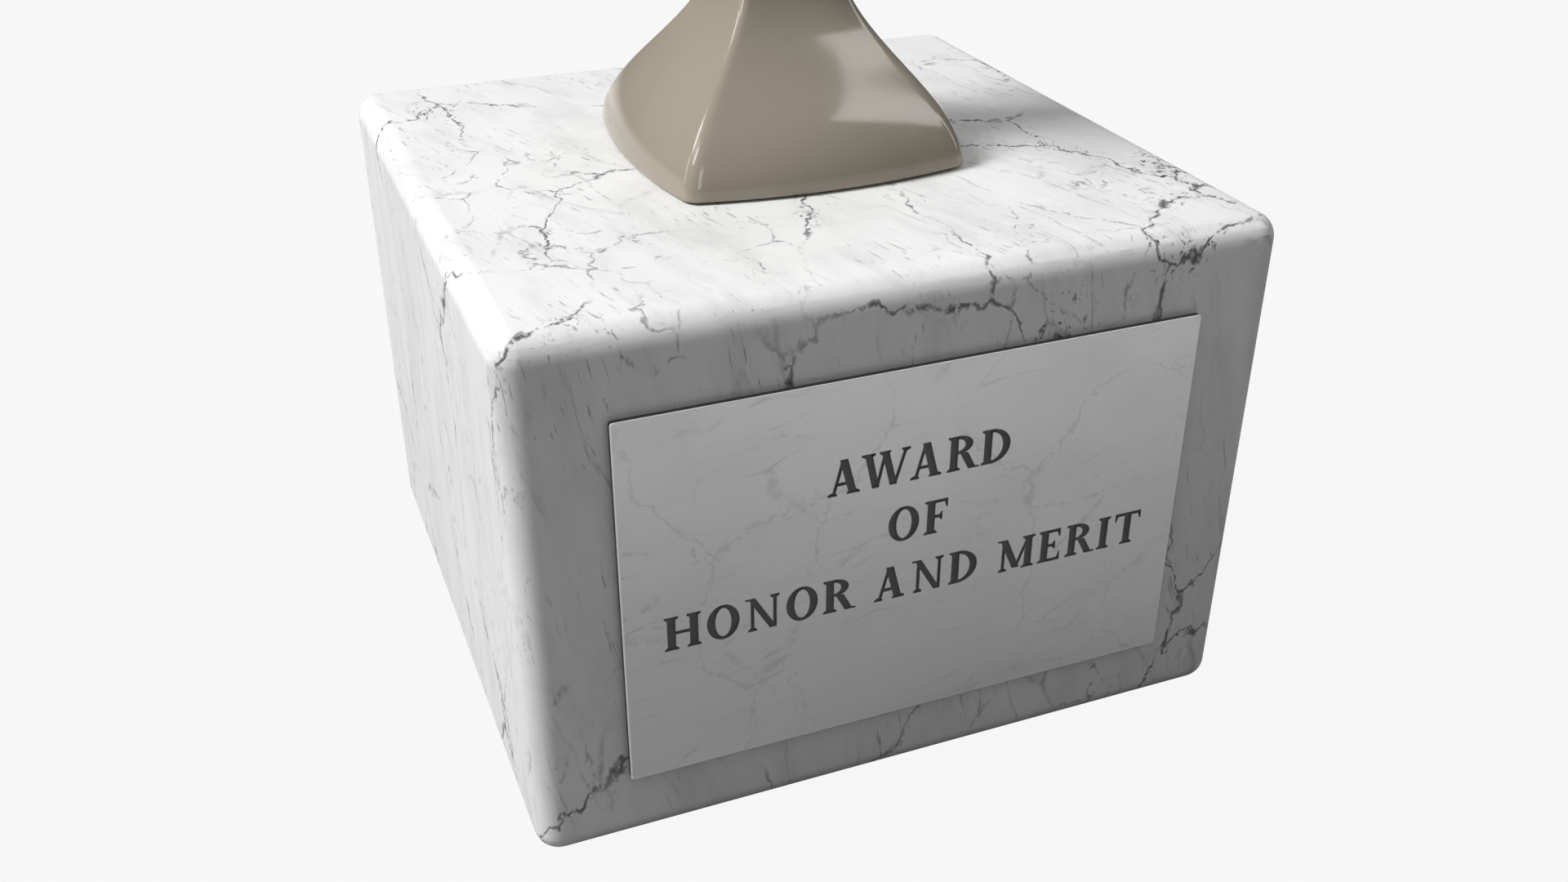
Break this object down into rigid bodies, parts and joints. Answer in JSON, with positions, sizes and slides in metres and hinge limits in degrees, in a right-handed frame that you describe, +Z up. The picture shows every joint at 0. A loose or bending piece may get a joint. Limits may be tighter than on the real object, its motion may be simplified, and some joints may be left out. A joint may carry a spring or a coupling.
{
  "type": "cup trophy",
  "caption": "Lacquered two-handled cup trophy on a square flared foot, tied down to a marble block that carries an engraved metal nameplate.",
  "frame": {"origin": "middle of the felt's underside, where the trophy rests, under the middle of the marble block", "axes": "+Z up along the cup, -Y out of the face that carries the nameplate, +X to the right of it"},
  "size_m": [0.1336, 0.0976, 0.2479],
  "materials": {
    "marble": "polished white marble with dark grey broken veins",
    "lacquer": "high-gloss taupe lacquer",
    "plate_steel": "satin grey engraving plate with a bright bevelled edge",
    "polished_steel": "polished",
    "zinc_steel": "zinc plated",
    "felt": "dense black felt",
    "rubber": "matte black rubber",
    "foam_tape": "white foam tape",
    "nylon": "natural nylon"
  },
  "bodies": {
    "root": {"felt_pad": "felt", "marble_block": "marble", "plate_tape": "foam_tape", "nameplate": "plate_steel", "foot_gasket": "rubber", "foot": "lacquer", "lower_collar": "polished_steel", "stem": "lacquer", "upper_collar": "polished_steel", "bowl": "lacquer", "handle_right": "lacquer", "handle_washer_right_upper": "nylon", "handle_screw_right_upper": "polished_steel", "handle_washer_right_lower": "nylon", "handle_screw_right_lower": "polished_steel", "handle_left": "lacquer", "handle_washer_left_upper": "nylon", "handle_screw_left_upper": "polished_steel", "handle_washer_left_lower": "nylon", "handle_screw_left_lower": "polished_steel", "tie_rod": "zinc_steel", "base_nut": "zinc_steel", "spring_washer": "zinc_steel", "base_washer": "zinc_steel", "cup_seal": "rubber", "cup_washer": "polished_steel", "dome_nut": "polished_steel", "foot_dowel_right": "zinc_steel", "foot_dowel_left": "zinc_steel"}
  },
  "joints": []
}
